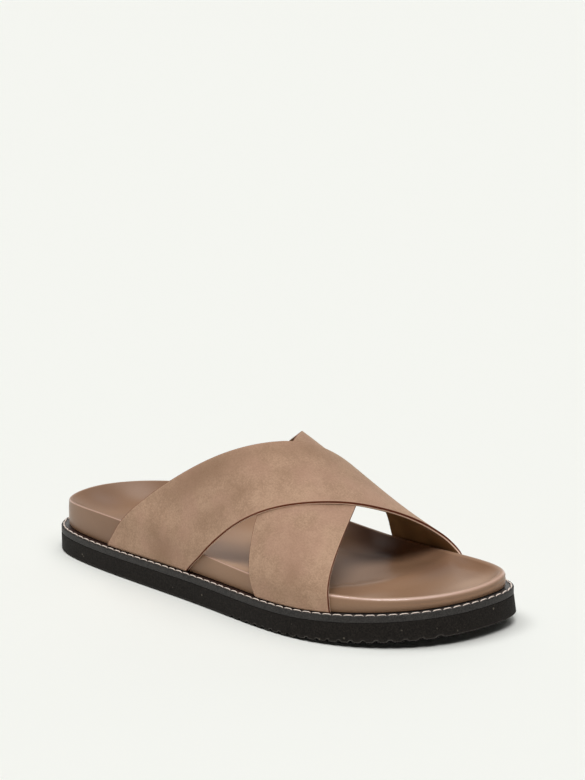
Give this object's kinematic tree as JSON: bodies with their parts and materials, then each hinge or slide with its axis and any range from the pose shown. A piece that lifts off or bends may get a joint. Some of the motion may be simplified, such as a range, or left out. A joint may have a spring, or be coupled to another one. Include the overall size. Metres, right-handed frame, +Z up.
{
  "type": "cross strap sandal",
  "caption": "Slip-on sandal with wide crossed instep straps on a moulded footbed, stitched welt strip and ribbed rubber outsole, for the right foot.",
  "frame": {"origin": "on the floor, under the middle of the sandal's box", "axes": "+X from heel to toe, +Y to the inner (medial) side of the right foot, +Z up"},
  "size_m": [0.2916, 0.1128, 0.0884],
  "materials": {
    "outsole": "matt black, faintly flecked",
    "welt": "matt dark grey with light stitches",
    "footbed": "smooth brown leather, satin",
    "straps": "tan nubuck with a soft nap"
  },
  "bodies": {
    "root": {"outsole": "outsole", "welt": "welt", "footbed": "footbed", "upper": "straps"}
  },
  "joints": []
}
